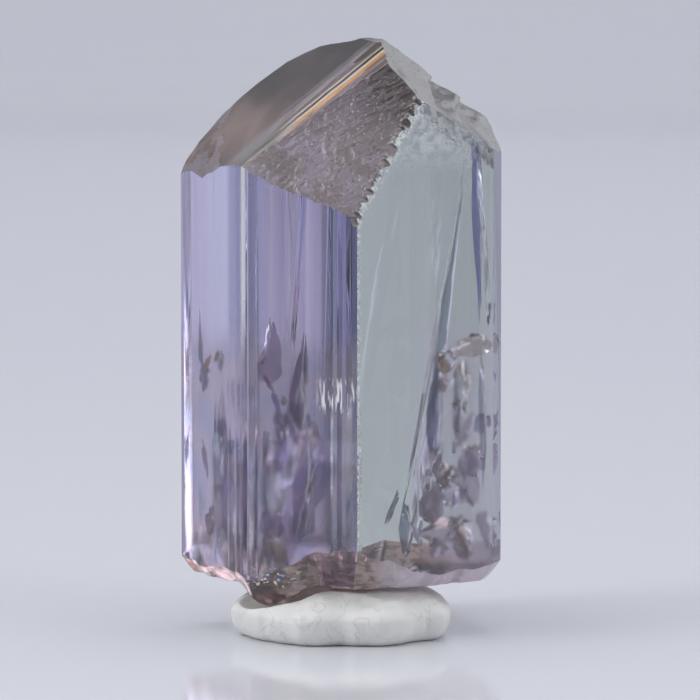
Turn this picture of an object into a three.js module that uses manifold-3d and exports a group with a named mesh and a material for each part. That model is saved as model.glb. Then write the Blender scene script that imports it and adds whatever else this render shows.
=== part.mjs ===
// A natural tanzanite crystal that stands on a pressed dab of white mineral putty.
// Millimetres, +Z up. The origin is the middle of the putty's flat underside, and -Y is the front.
// The crystal is one piece: a striated prism that ends in ten roof faces above and in a broken,
// scalloped base below.
import * as THREE from 'three';
import { mergeVertices } from 'three/addons/utils/BufferGeometryUtils.js';
import Module from 'manifold-3d';

const wasm = await Module();
wasm.setup();

// Driving dimensions
const crystalTop = 17.88;       // highest point of the crest above the table
const restHeight = 1.6;         // the crystal's base rests on the putty at this height
const striationDepth = 0.05;    // how far the growth lines stand out of the prism faces
const etchDepth = 0.05;         // relief of the etched faces
const puttyRadius = 3.35;
const puttyFoot = 2.95;         // radius of the putty's flat underside
const puttyTop = 2.25;          // radius of its flat top
const puttyBelly = 0.75;        // height of its widest line
const dentGap = 0.12;           // clearance between the crystal's low corner and its dent

// Grids and blocks that cut the crystal
const gridReach = 7;            // a face's grid covers this far each way from its point
const blockReach = 60;          // and its block this far
const baseRays = 96;            // the broken base's polar grid, with rings that crowd to the rim
const baseRings = [0.3, 0.5, 0.64, 0.74, 0.82, 0.88, 0.94, 1.0, 1.08];

// The prism's corners in plan, counter-clockwise from the nearest vertical edge.
const corner = {
  front: [0.5, -3.3],
  right: [4.6, -0.43],
  rightBevel: [4.85, 0.15],
  rightBack: [4.68, 0.95],
  backRight: [3.8, 4.45],
  back: [2.96, 6.33],
  backLeft: [-4.6, 1.94],
  leftBevel: [-4.85, 1.6],
  left: [-4.62, 1.29],
  leftFront: [-2.92, -1.5],
  leftFrontBevel: [-2.8, -1.56],
};

// Growth lines: [share of the side from its end, how far the line stands out as a share of
// striationDepth]. The strips between them are tilted a few degrees, which makes each one flash
// on its own.
const frontLeftLines = [
  [0.04, 0.9], [0.1, 0.1], [0.13, 0.9], [0.18, 0.2], [0.21, 0.9], [0.24, 0.0], [0.37, 0.6],
  [0.78, 0.9], [0.9, 0.35], [0.92, 0.8], [0.985, 0.5],
];
const farLeftLines = [
  [0.02, 0.5], [0.05, 0.0], [0.1, 0.9], [0.14, 0.2], [0.24, 0.8], [0.27, 0.4], [0.47, 0.9],
  [0.52, 0.5], [0.8, 0.8], [0.9, 0.2],
];

// Roof faces: a point on the face, its rise along X and along Y, the plan direction of its growth
// bands in degrees, the grid's cell along and across them, and the relief.
const roof = {
  smoothDome: {
    through: [-2.85, -1.44, 14.36], rise: [0.743, 0.42], bands: 8, cell: [gridReach, 0.3],
    relief: domeBands,
  },
  ridgeBevel: {
    through: [-2.85, -1.44, 14.36], rise: [0.645, 0.691], bands: 12, cell: [gridReach, 0.1],
    relief: bevelGrooves,
  },
  crestLeft: {
    through: [0.68, 1.2, crystalTop], rise: [0.25, 0.15], bands: 8, cell: [gridReach, 0.4],
    relief: domeBands,
  },
  crestRight: {
    through: [0.86, 1.2, crystalTop], rise: [-0.58, -0.42], bands: -20, cell: [0.4, 0.3],
    relief: etched(etchDepth, 0.6, 51),
  },
  leftShoulder: {
    through: [-3.7, -0.13, 14.4], rise: [1.353, 0.384], bands: 60, cell: [0.35, 0.35],
    relief: etched(4 * etchDepth, 0.7, 3),
  },
  etchedFront: {
    through: [0.5, -3.3, 12.83], rise: [0.541, 1.798], bands: 0, cell: [0.23, 0.23],
    relief: etched(etchDepth, 0.42, 11),
  },
  ridgeRight: {
    through: [2.43, -1.95, 16.3], rise: [-0.554, 0.52], bands: 40, cell: [0.4, 0.25],
    relief: etched(etchDepth, 0.45, 61),
  },
  rightSlope: {
    through: [2.43, -1.95, 16.3], rise: [-0.93, 0.27], bands: 90, cell: [0.4, 0.14],
    relief: rightLedges,
  },
  backLeft: {
    through: [-1.2, 2.6, 17.92], rise: [1.03, -1.0], bands: 45, cell: [0.4, 0.4],
    relief: etched(2 * etchDepth, 0.9, 31),
  },
  backRight: {
    through: [-1.2, 2.6, 17.75], rise: [-0.4, -0.62], bands: -20, cell: [0.4, 0.4],
    relief: etched(2 * etchDepth, 0.9, 41),
  },
};

// Ledges across the right slope: distance down the slope from the front corner, depth, and the
// run over which the face comes back.
const ledges = [
  { at: 0.4, depth: 0.36, run: 0.95 },
  { at: 1.5, depth: 0.2, run: 0.8 },
];

// Where the prism's faces end above the broken base: [plan angle in degrees round baseCentre,
// height above the table].
const baseCentre = [0, 0.9];
const brokenRim = [
  [-14, 2.15], [10, 2.2], [40, 2.5], [70, 2.25], [100, 2.6], [130, 2.2], [155, 2.4], [172, 2.05],
  [184, 1.85], [216, 1.95], [230, 1.9], [248, 2.3], [260, 2.7], [277, 2.78], [288, 2.45],
  [304, 2.14], [321, 1.92], [335, 1.95], [346, 2.15],
];

// The low corner of the base, pressed into the putty.
const lowCorner = { at: [-2.05, -1.2], reach: [1.2, 0.85], drop: 0.66 };

const fixedRandom = (n) => {
  const wave = Math.sin(n * 12.9898 + 4.1) * 43758.5453;
  return wave - Math.floor(wave);
};

// Smooth noise from 0 to 1 over a square lattice.
function latticeNoise(x, y, seed) {
  const [column, row] = [Math.floor(x), Math.floor(y)];
  const ease = (t) => t * t * (3 - 2 * t);
  const [u, v] = [ease(x - column), ease(y - row)];
  const at = (i, j) => fixedRandom((column + i) * 7.31 + (row + j) * 57.17 + seed * 131.7);
  const near = at(0, 0) * (1 - u) + at(1, 0) * u;
  const far = at(0, 1) * (1 - u) + at(1, 1) * u;
  return near * (1 - v) + far * v;
}

function closedSolid(positions, index) {
  return new wasm.Manifold(new wasm.Mesh({
    numProp: 3,
    vertProperties: new Float32Array(positions),
    triVerts: new Uint32Array(index),
  }));
}

function solidOf(geometry) {
  const bare = geometry.clone();
  bare.deleteAttribute('normal');
  bare.deleteAttribute('uv');
  const merged = mergeVertices(bare, 1e-5);
  return closedSolid(merged.attributes.position.array, merged.index.array);
}

function geometryOf(solid) {
  const { vertProperties, triVerts } = solid.getMesh();
  return new THREE.BufferGeometry()
    .setAttribute('position', new THREE.BufferAttribute(vertProperties, 3))
    .setIndex(new THREE.BufferAttribute(triVerts, 1));
}

// One side of the prism from corner a to corner b, with its growth lines standing out to the
// right of the way from a to b, which is outwards.
function striatedSide(a, b, lines) {
  const [dx, dy] = [b[0] - a[0], b[1] - a[1]];
  const length = Math.hypot(dx, dy);
  const points = lines.map(([share, out]) => {
    const lift = out * striationDepth;
    return [a[0] + dx * share + (dy / length) * lift, a[1] + dy * share - (dx / length) * lift];
  });
  return [a, ...points];
}

// Irregular growth lines for a side that is striated all over.
function scatteredLines(count, seed) {
  return Array.from({ length: count }, (_, i) => [
    (i + 0.3 + 0.4 * fixedRandom(seed + i)) / count,
    fixedRandom(seed + i + 0.5),
  ]);
}

// The same lines for a side that is walked from its other end.
const fromOtherEnd = (lines) => lines.map(([share, out]) => [1 - share, out]).reverse();

function prismOutline() {
  const c = corner;
  return [
    ...striatedSide(c.front, c.right, []),
    ...striatedSide(c.right, c.rightBevel, []),
    ...striatedSide(c.rightBevel, c.rightBack, [[0.4, 0.7]]),
    ...striatedSide(c.rightBack, c.backRight, scatteredLines(7, 3)),
    ...striatedSide(c.backRight, c.back, scatteredLines(9, 17)),
    ...striatedSide(c.back, c.backLeft, [[0.31, 0.3], [0.33, 0.0]]),
    ...striatedSide(c.backLeft, c.leftBevel, [[0.5, 0.5]]),
    ...striatedSide(c.leftBevel, c.left, [[0.5, 0.6]]),
    ...striatedSide(c.left, c.leftFront, fromOtherEnd(farLeftLines)),
    ...striatedSide(c.leftFront, c.leftFrontBevel, []),
    ...striatedSide(c.leftFrontBevel, c.front, fromOtherEnd(frontLeftLines)),
  ];
}

function prism() {
  const outline = new THREE.Shape(prismOutline().map(([x, y]) => new THREE.Vector2(x, y)));
  return solidOf(new THREE.ExtrudeGeometry(outline, { depth: crystalTop + 2, bevelEnabled: false }));
}

// Everything below one roof face. The face is a grid in its own plane, with relief(u, v) along its
// normal: u runs along the bands and v across them. Outer grid lines carry the flat part past the
// crystal, and the block tapers to one point far below the face.
function belowFace({ through, rise, bands, cell, relief }) {
  const normal = new THREE.Vector3(-rise[0], -rise[1], 1).normalize();
  const angle = THREE.MathUtils.degToRad(bands);
  const flat = new THREE.Vector3(Math.cos(angle), Math.sin(angle), 0);
  const uAxis = flat.setZ(rise[0] * flat.x + rise[1] * flat.y).normalize();
  const vAxis = new THREE.Vector3().crossVectors(normal, uAxis);
  const [us, vs] = cell.map((step) => [-blockReach, ...gridLines(step), blockReach]);
  const [lastU, lastV] = [us.length - 1, vs.length - 1];
  const origin = new THREE.Vector3(...through);
  const positions = [];
  vs.forEach((v, j) => us.forEach((u, i) => {
    const outer = i === 0 || j === 0 || i === lastU || j === lastV;
    const point = origin.clone().addScaledVector(uAxis, u).addScaledVector(vAxis, v);
    point.addScaledVector(normal, outer ? 0 : relief(u, v));
    positions.push(...point.toArray());
  }));
  const apex = positions.length / 3;
  positions.push(...origin.clone().addScaledVector(normal, -10 * blockReach).toArray());
  const index = [];
  const at = (i, j) => j * us.length + i;
  for (let j = 0; j < lastV; j++) {
    for (let i = 0; i < lastU; i++) {
      index.push(at(i, j), at(i + 1, j), at(i + 1, j + 1), at(i, j), at(i + 1, j + 1), at(i, j + 1));
    }
    index.push(at(0, j), at(0, j + 1), apex, at(lastU, j + 1), at(lastU, j), apex);
  }
  for (let i = 0; i < lastU; i++) {
    index.push(at(i + 1, 0), at(i, 0), apex, at(i, lastV), at(i + 1, lastV), apex);
  }
  return closedSolid(positions, index);
}

function gridLines(step) {
  const count = Math.floor(gridReach / step);
  return Array.from({ length: 2 * count + 1 }, (_, i) => (i - count) * step);
}

// Hillocks and pits of an etched face, in two sizes.
function etched(depth, size, seed) {
  return (u, v) => {
    const coarse = latticeNoise(u / size, v / size, seed);
    const fine = latticeNoise((u / size) * 2.1, (v / size) * 2.1, seed + 1);
    return depth * (coarse + 0.5 * fine - 0.75);
  };
}

// The smooth dome: broad bands that run along the ridge bevel.
function domeBands(u, v) {
  return 0.05 * Math.sin(v * 2.1 + 0.6) + 0.025 * Math.sin(v * 5.3);
}

// The ridge bevel: sharp grooves along it.
function bevelGrooves(u, v) {
  return -0.05 * Math.abs(Math.sin(v * 9.5 + 0.4));
}

// The right slope: ledges that fade out towards the front. v runs up the slope from the front
// corner, and each ledge drops at once and comes back slowly.
function rightLedges(u, v) {
  const fromFront = THREE.MathUtils.smoothstep(u + 0.51 * v, 0.1, 1.5);
  const lipWidth = 0.12;
  const drop = ledges.reduce((sum, { at, depth, run }) => {
    const past = -v - at - 0.1 * Math.sin(u * 2.3);
    const inside = past > 0 && past < run;
    return sum + (inside ? depth * (1 - past / run) * Math.min(1, past / lipWidth) : 0);
  }, 0);
  return etched(1.6 * etchDepth, 0.5, 21)(u, v) - drop * fromFront;
}

// Distance from baseCentre to the prism's outline at a plan angle in radians, with the corners
// joined straight.
function outlineRadius(angle) {
  const [dx, dy] = [Math.cos(angle), Math.sin(angle)];
  const points = Object.values(corner).map(([x, y]) => [x - baseCentre[0], y - baseCentre[1]]);
  const hits = points.map(([ax, ay], i) => {
    const [bx, by] = points[(i + 1) % points.length];
    const turn = dx * (by - ay) - dy * (bx - ax);
    const along = (ax * (by - ay) - ay * (bx - ax)) / turn;
    const share = (ax * dy - ay * dx) / turn;
    return along > 0 && share >= -1e-9 && share <= 1 + 1e-9 ? along : Infinity;
  });
  return Math.min(...hits);
}

function rimHeight(degrees) {
  const after = brokenRim.findIndex(([angle]) => angle >= degrees);
  const [a, b] = [brokenRim[after - 1], brokenRim[after]];
  return THREE.MathUtils.mapLinear(degrees, a[0], b[0], a[1], b[1]);
}

// How far the low corner reaches down at a place in plan.
function lowCornerDrop(x, y) {
  const { at, reach, drop } = lowCorner;
  const away = ((x - at[0]) / reach[0]) ** 2 + ((y - at[1]) / reach[1]) ** 2;
  return drop * Math.max(0, 1.15 * Math.exp(-1.6 * away) - 0.15);
}

// Height of the broken base. It is flat where it rests, rises to the rim in scallops, and has one
// low corner. share is 0 at the centre and 1 at the prism's faces.
function baseHeight(x, y, share, rim, radius) {
  const coarse = 0.3 * (latticeNoise(x / 1.3, y / 1.3, 5) - 0.55);
  const fine = 0.12 * (latticeNoise(x / 0.5, y / 0.5, 9) - 0.5);
  const rough = Math.max(0, coarse + fine) * Math.min(1, share * 1.4);
  const scallop = 0.7 + 0.6 * latticeNoise(x / 0.8, y / 0.8, 13);
  const slopeWidth = ((rim - restHeight) * scallop) / radius;
  const climb = Math.max(0, (share - 1 + slopeWidth) / slopeWidth);
  return restHeight + rough + (rim - restHeight) * climb ** 1.4 - lowCornerDrop(x, y);
}

// Everything above the broken base, closed by one point far above.
function aboveBase() {
  const [lastAngle] = brokenRim.at(-1);
  const positions = [...baseCentre, restHeight];
  baseRings.forEach((share) => {
    for (let i = 0; i < baseRays; i++) {
      const degrees = (360 * i) / baseRays;
      const angle = THREE.MathUtils.degToRad(degrees);
      const radius = outlineRadius(angle);
      const x = baseCentre[0] + share * radius * Math.cos(angle);
      const y = baseCentre[1] + share * radius * Math.sin(angle);
      const rim = rimHeight(degrees > lastAngle ? degrees - 360 : degrees);
      positions.push(x, y, baseHeight(x, y, share, rim, radius));
    }
  });
  const top = positions.length / 3;
  positions.push(...baseCentre, 10 * blockReach);
  const index = [];
  const lastRing = baseRings.length - 1;
  const at = (ring, i) => 1 + ring * baseRays + (i % baseRays);
  for (let i = 0; i < baseRays; i++) {
    index.push(0, at(0, i + 1), at(0, i));
    for (let ring = 0; ring < lastRing; ring++) {
      index.push(at(ring, i), at(ring, i + 1), at(ring + 1, i + 1));
      index.push(at(ring, i), at(ring + 1, i + 1), at(ring + 1, i));
    }
    index.push(at(lastRing, i), at(lastRing, i + 1), top);
  }
  return closedSolid(positions, index);
}

function crystalSolid() {
  const blocks = [...Object.values(roof).map(belowFace), aboveBase()];
  return blocks.reduce((body, block) => body.intersect(block), prism());
}

// The putty: a flat-footed disc with a bulging rim, dented under the crystal's low corner.
function puttySolid() {
  const quarter = (radius, height, from, to) => new THREE.EllipseCurve(
    radius, puttyBelly, puttyRadius - radius, height, from, to,
  ).getPoints(7);
  const rim = [
    ...quarter(puttyFoot, puttyBelly, -Math.PI / 2, 0),
    ...quarter(puttyTop, restHeight - puttyBelly, 0, Math.PI / 2).slice(1),
  ];
  const profile = [new THREE.Vector2(0, 0), ...rim, new THREE.Vector2(0, restHeight)];
  const disc = new THREE.LatheGeometry(profile, 56);
  disc.rotateX(Math.PI / 2);
  const dent = new THREE.SphereGeometry(1, 28, 18);
  dent.scale(...lowCorner.reach.map((reach) => reach * 1.35 + dentGap), lowCorner.drop + dentGap);
  dent.translate(...lowCorner.at, restHeight);
  return solidOf(disc).subtract(solidOf(dent));
}

const materials = {
  crystal: new THREE.MeshStandardMaterial({
    color: '#8f8bb2', roughness: 0.08, metalness: 0, transparent: true, opacity: 0.75,
  }),
  putty: new THREE.MeshStandardMaterial({ color: '#dcdbd8', roughness: 0.85, metalness: 0 }),
};

function namedMesh(name, solid, material) {
  const mesh = new THREE.Mesh(geometryOf(solid), material);
  mesh.name = name;
  return mesh;
}

const group = new THREE.Group();
group.add(namedMesh('tanzanite_crystal', crystalSolid(), materials.crystal));
group.add(namedMesh('mineral_putty', puttySolid(), materials.putty));

export default group;
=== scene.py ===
import bpy
import numpy as np
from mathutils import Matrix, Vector


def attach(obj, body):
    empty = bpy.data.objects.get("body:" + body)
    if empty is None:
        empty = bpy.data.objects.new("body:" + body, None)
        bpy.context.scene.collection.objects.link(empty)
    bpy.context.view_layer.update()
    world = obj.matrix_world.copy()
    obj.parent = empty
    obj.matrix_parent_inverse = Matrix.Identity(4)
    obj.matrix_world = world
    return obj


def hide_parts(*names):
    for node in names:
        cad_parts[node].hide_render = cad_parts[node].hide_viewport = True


mm = 0.001
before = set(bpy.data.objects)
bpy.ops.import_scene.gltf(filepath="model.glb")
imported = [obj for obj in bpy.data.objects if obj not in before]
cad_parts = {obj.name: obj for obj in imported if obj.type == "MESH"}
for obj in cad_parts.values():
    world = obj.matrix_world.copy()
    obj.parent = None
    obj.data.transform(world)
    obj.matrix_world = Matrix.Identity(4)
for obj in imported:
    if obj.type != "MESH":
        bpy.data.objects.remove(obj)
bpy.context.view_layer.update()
print("frame loaded:", sorted(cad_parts))


# Camera: a long lens, six degrees above the table, as in the photograph
cameraView = {
    "target": (0.287, 0.0, 8.594),  # mm
    "distance": 200.0,  # mm
    "elevation": 6.0,  # degrees
    "widthSeen": 21.14,  # mm across the picture at the target
    "sensor": 36.0,
}


def makeCamera(view):
    elevation = np.radians(view["elevation"])
    away = Vector((0.0, -np.cos(elevation), np.sin(elevation)))
    camera = bpy.data.objects.new("camera", bpy.data.cameras.new("camera"))
    bpy.context.scene.collection.objects.link(camera)
    camera.location = (Vector(view["target"]) + away * view["distance"]) * mm
    camera.rotation_euler = (-away).to_track_quat("-Z", "Y").to_euler()
    camera.data.sensor_width = view["sensor"]
    camera.data.lens = view["sensor"] * view["distance"] / view["widthSeen"]
    camera.data.clip_start = 1 * mm
    camera.data.clip_end = 10
    bpy.context.scene.camera = camera


makeCamera(cameraView)


# Shared helpers
def hexColour(code):
    # sRGB hex to linear: (c / 12.92) below 0.04045, ((c + 0.055) / 1.055) ** 2.4 above it
    srgb = np.array([int(code[i:i + 2], 16) for i in (1, 3, 5)]) / 255
    linear = np.where(srgb <= 0.04045, srgb / 12.92, ((srgb + 0.055) / 1.055) ** 2.4)
    return (*linear.tolist(), 1.0)


def addNode(tree, kind, inputs=None, stops=(), **settings):
    # One node: its settings, for each input a link, a hex colour or a plain value, and a ramp's stops
    node = tree.nodes.new(kind)
    for name, value in settings.items():
        setattr(node, name, value)
    for socket, value in (inputs or {}).items():
        if isinstance(value, bpy.types.NodeSocket):
            tree.links.new(value, node.inputs[socket])
        else:
            node.inputs[socket].default_value = hexColour(value) if isinstance(value, str) else value
    if stops:
        node.color_ramp.elements.remove(node.color_ramp.elements[1])
    for i, (position, colour) in enumerate(stops):
        stop = node.color_ramp.elements.new(position) if i else node.color_ramp.elements[0]
        stop.position, stop.color = position, hexColour(colour)
    return node


def newMaterial(name):
    material = bpy.data.materials.new(name)
    material.use_nodes = True
    material.node_tree.nodes.clear()
    return material, material.node_tree


def fixedRandom(n):
    # The fraction of a sine wave blown up, so that each whole number gives its own value
    wave = np.sin(n * 12.9898 + 4.1) * 43758.5453
    return wave - np.floor(wave)


def latticeNoise(x, y, seed):
    # Smooth noise from 0 to 1: values at the corners of a unit lattice, eased between them
    column, row = np.floor(x), np.floor(y)
    u, v = x - column, y - row
    u, v = u * u * (3 - 2 * u), v * v * (3 - 2 * v)

    def at(i, j):
        return fixedRandom((column + i) * 7.31 + (row + j) * 57.17 + seed * 131.7)

    near = at(0, 0) * (1 - u) + at(1, 0) * u
    far = at(0, 1) * (1 - u) + at(1, 1) * u
    return near * (1 - v) + far * v


def layeredNoise(x, y, seed, layers=4, fall=0.5):
    # Lattice noise at about half the size and half the weight from layer to layer, centred on 0
    finer = 2.03
    return sum(
        fall ** k * (latticeNoise(x * finer ** k, y * finer ** k, seed + k) - 0.5)
        for k in range(layers)
    )


def gridFaces(rows, columns, closedRows=False, offset=0):
    # Quads of a grid of points stored row by row, facing the side that columns x rows points to
    j = np.arange(rows - 1)[:, None]
    i = np.arange(columns if closedRows else columns - 1)[None, :]
    following = (i + 1) % columns
    quads = np.stack(
        [j * columns + i, j * columns + following, (j + 1) * columns + following, (j + 1) * columns + i],
        axis=-1,
    )
    return quads.reshape(-1, 4) + offset


def makeObject(name, points, faces, material=None):
    mesh = bpy.data.meshes.new(name)
    mesh.from_pydata(np.asarray(points).reshape(-1, 3).tolist(), [], [list(map(int, f)) for f in faces])
    if material:
        mesh.materials.append(material)
    piece = bpy.data.objects.new(name, mesh)
    bpy.context.scene.collection.objects.link(piece)
    return piece


def smoothShade(mesh, sharpAngle):
    mesh.shade_smooth()
    mesh.set_sharp_from_angle(angle=np.radians(sharpAngle))


# The crystal's shape, in millimetres: the same values as the solid part, with finer relief
crystalShape = {
    "top": 17.88,
    "restHeight": 1.6,
    "striationDepth": 0.05,
    "etchDepth": 0.05,
    "grooveDepth": 0.025,
    "ribHeight": 0.06,
    "crackGap": 0.03,
    "prismTop": 20.0,
    "gridReach": 7.0,
    "blockReach": 60.0,
    "baseCentre": (0.0, 0.9),
    "baseRays": 480,
    "baseRings": 60,
    "shellCentres": (((-0.9, -3.4), 0.3), ((1.9, -3.1), 0.26), ((-3.4, -1.6), 0.24), ((4.4, 0.2), 0.28)),
}
corner = {
    "front": (0.5, -3.3),
    "right": (4.6, -0.43),
    "rightBevel": (4.85, 0.15),
    "rightBack": (4.68, 0.95),
    "backRight": (3.8, 4.45),
    "back": (2.96, 6.33),
    "backLeft": (-4.6, 1.94),
    "leftBevel": (-4.85, 1.6),
    "left": (-4.62, 1.29),
    "leftFront": (-2.92, -1.5),
    "leftFrontBevel": (-2.8, -1.56),
}
brokenRim = np.array([
    (-14, 2.15), (10, 2.2), (40, 2.5), (70, 2.25), (100, 2.6), (130, 2.2), (155, 2.4), (172, 2.05),
    (184, 1.85), (216, 1.95), (230, 1.9), (248, 2.3), (260, 2.7), (277, 2.78), (288, 2.45),
    (304, 2.14), (321, 1.92), (335, 1.95), (346, 2.15),
])
lowCorner = {"at": (-2.05, -1.2), "reach": (1.2, 0.85), "drop": 0.66}
roof = {
    "smoothDome": {"through": (-2.85, -1.44, 14.36), "rise": (0.743, 0.42), "bands": 8},
    "ridgeBevel": {"through": (-2.85, -1.44, 14.36), "rise": (0.645, 0.691), "bands": 12},
    "crestLeft": {"through": (0.68, 1.2, 17.88), "rise": (0.25, 0.15), "bands": 8},
    "crestCorner": {"through": (-1.2, 3.05, 17.34), "rise": (0.5, 0.0), "bands": 0},
    "crestRight": {"through": (0.86, 1.2, 17.88), "rise": (-0.58, -0.42), "bands": -20},
    "leftShoulder": {"through": (-3.7, -0.13, 14.4), "rise": (1.353, 0.384), "bands": 60},
    "etchedFront": {"through": (0.5, -3.3, 12.83), "rise": (0.541, 1.798), "bands": 0},
    "ridgeRight": {"through": (2.43, -1.95, 16.3), "rise": (-0.554, 0.52), "bands": 40},
    "rightSlope": {"through": (2.43, -1.95, 16.3), "rise": (-0.93, 0.27), "bands": 90},
    "backLeft": {"through": (-1.2, 2.6, 17.92), "rise": (1.03, -1.0), "bands": 45},
    "backRight": {"through": (-1.2, 2.6, 17.75), "rise": (-0.4, -0.62), "bands": -20},
}
# Growth lines: share of the side from its end, how far each stands out
frontLeftLines = [
    (0.04, 0.9), (0.1, 0.1), (0.13, 0.9), (0.18, 0.2), (0.21, 0.9), (0.24, 0.0), (0.37, 0.6),
    (0.78, 0.9), (0.9, 0.35), (0.92, 0.8), (0.985, 0.5),
]
farLeftLines = [
    (0.02, 0.5), (0.05, 0.0), (0.1, 0.9), (0.14, 0.2), (0.24, 0.8), (0.27, 0.4), (0.47, 0.9),
    (0.52, 0.5), (0.8, 0.8), (0.9, 0.2),
]
ledges = ({"at": 0.4, "depth": 0.36, "run": 0.95}, {"at": 1.5, "depth": 0.2, "run": 0.8})


def striatedSide(a, b, lines):
    # Points from corner a to b, lifted outwards, to the right of the way, where a growth line stands out
    a, b = np.array(a), np.array(b)
    along = b - a
    outwards = np.array([along[1], -along[0]]) / np.hypot(*along)
    lines = np.array(lines).reshape(-1, 2)
    points = a + along * lines[:, :1] + outwards * lines[:, 1:] * crystalShape["striationDepth"]
    return np.vstack([a[None, :], points])


def scatteredLines(count, seed):
    i = np.arange(count)
    return np.stack([(i + 0.3 + 0.4 * fixedRandom(seed + i)) / count, fixedRandom(seed + i + 0.5)], 1)


def fromOtherEnd(lines):
    lines = np.array(lines)[::-1].copy()
    lines[:, 0] = 1 - lines[:, 0]
    return lines


def prismBlock():
    # The prism's outline in plan, carried straight up: two rings of points and two end caps
    c = corner
    outline = np.vstack([
        striatedSide(c["front"], c["right"], []),
        striatedSide(c["right"], c["rightBevel"], []),
        striatedSide(c["rightBevel"], c["rightBack"], [(0.4, 0.7)]),
        striatedSide(c["rightBack"], c["backRight"], scatteredLines(7, 3)),
        striatedSide(c["backRight"], c["back"], scatteredLines(9, 17)),
        striatedSide(c["back"], c["backLeft"], [(0.31, 0.3), (0.33, 0.0)]),
        striatedSide(c["backLeft"], c["leftBevel"], [(0.5, 0.5)]),
        striatedSide(c["leftBevel"], c["left"], [(0.5, 0.6)]),
        striatedSide(c["left"], c["leftFront"], fromOtherEnd(farLeftLines)),
        striatedSide(c["leftFront"], c["leftFrontBevel"], []),
        striatedSide(c["leftFrontBevel"], c["front"], fromOtherEnd(frontLeftLines)),
    ])
    count = len(outline)
    heights = np.repeat([0.0, crystalShape["prismTop"]], count)
    points = np.column_stack([np.vstack([outline, outline]), heights])
    faces = gridFaces(2, count, closedRows=True).tolist()
    faces += [list(range(count))[::-1], list(range(count, 2 * count))]
    return makeObject("prism", points, faces)


def reliefBlock(face, cell, relief):
    # Everything below a face: a grid in the face's own plane, lifted along its normal by relief(u, v), with
    # outer lines that carry the flat part on, closed by one point far below
    rise = np.array(face["rise"])
    normal = np.array([-rise[0], -rise[1], 1.0])
    normal /= np.linalg.norm(normal)
    angle = np.radians(face["bands"])
    uAxis = np.array([np.cos(angle), np.sin(angle), 0.0])
    uAxis[2] = rise @ uAxis[:2]
    uAxis /= np.linalg.norm(uAxis)
    vAxis = np.cross(normal, uAxis)
    reach, far = crystalShape["gridReach"], crystalShape["blockReach"]

    def lines(step):
        count = int(reach // step)
        return np.concatenate([[-far], np.arange(-count, count + 1) * step, [far]])

    u, v = np.meshgrid(lines(cell[0]), lines(cell[1]))
    lift = np.zeros_like(u)
    lift[1:-1, 1:-1] = relief(u[1:-1, 1:-1], v[1:-1, 1:-1])
    through = np.array(face["through"])
    points = through + u[..., None] * uAxis + v[..., None] * vAxis + lift[..., None] * normal
    rows, columns = u.shape
    apex = rows * columns
    edge = np.concatenate([
        np.arange(columns),
        np.arange(1, rows) * columns + columns - 1,
        (rows - 1) * columns + np.arange(columns - 2, -1, -1),
        np.arange(rows - 2, 0, -1) * columns,
    ])
    skirt = np.stack([np.roll(edge, -1), edge, np.full(len(edge), apex)], 1)
    allPoints = np.vstack([points.reshape(-1, 3), through - normal * 10 * far])
    return makeObject("reliefBlock", allPoints, gridFaces(rows, columns).tolist() + skirt.tolist())


def etched(depth, size, seed):
    # Hillocks and pits: coarse and fine noise
    def relief(u, v):
        coarse = latticeNoise(u / size, v / size, seed)
        fine = latticeNoise(u / size * 2.1, v / size * 2.1, seed + 1)
        return depth * (coarse + 0.5 * fine - 0.75)
    return relief


def ridged(x, y, seed):
    # Lattice noise folded at its middle: sharp crests of height 1 where the noise passes 0.5
    return 1 - 2 * np.abs(latticeNoise(x, y, seed) - 0.5)


frontRelief = {
    "edgeWay": (0.798, 0.602),  # the edge with the right face runs this way through the face's own point
    "toothReach": 0.3,  # mm
    "toothPitch": 0.13,
    "toothHeight": 0.3,
    "wrinkleHeight": 0.014,
}


def frontTeeth(u, v):
    # The etched front face: hillocks, plus two crossing sets of ridged noise as wrinkles, plus ridged noise
    # along the edge, to the third power and fading with the distance from the edge, as pointed teeth
    alongU, alongV = frontRelief["edgeWay"]
    fromEdge = np.clip((alongU * v - alongV * u) / frontRelief["toothReach"], 0, 1)
    alongEdge = alongU * u + alongV * v
    teeth = ridged(alongEdge / frontRelief["toothPitch"], v / 0.4, 71) ** 3 - 0.35
    teeth = frontRelief["toothHeight"] * teeth * (1 - fromEdge) ** 1.5
    wrinkles = ridged(u / 0.34 + 0.5 * v, v / 0.13, 77) ** 2 + ridged(u / 0.5 - v, v / 0.2, 79) ** 4
    hillocks = etched(0.5 * crystalShape["etchDepth"], 0.5, 11)(u, v)
    return hillocks + teeth + frontRelief["wrinkleHeight"] * wrinkles


arches = {  # mm: how high, where the middle is, how wide
    "dome": (0.19, 1.7, 1.5),
    "crest": (0.1, -0.15, 1.0),
    "shoulder": (0.2, 2.2, 1.0),
}


def domeSwell(u, v):
    # A low bell curve along u, exp(-((u - middle) / width) ** 2), sunk a little, which grows from nothing
    # at the ridge bevel, with broad faint bands across v
    height, middle, width = arches["dome"]
    fromBevel = np.clip((v - 0.25 * u) / 1.6, 0, 1)
    arch = height * np.exp(-(((u - middle) / width) ** 2)) - 0.05
    return arch * fromBevel * fromBevel * (3 - 2 * fromBevel) + 0.012 * np.sin(v * 2.1 + 0.6)


def flat(u, v):
    return np.zeros_like(u)


def crestArch(u, v):
    # A parabola along u, no lower than 0.4 below: the crest between the dome and the right slope
    height, middle, width = arches["crest"]
    return np.maximum(height - height * ((u - middle) / width) ** 2, -0.4)


def shoulderArch(u, v):
    # Hillocks on a parabola along v, down the left shoulder, no lower than 0.1 below
    height, middle, width = arches["shoulder"]
    arch = np.maximum(height - height * ((v - middle) / width) ** 2, -0.1)
    return etched(2.4 * crystalShape["etchDepth"], 0.7, 3)(u, v) + arch


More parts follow.
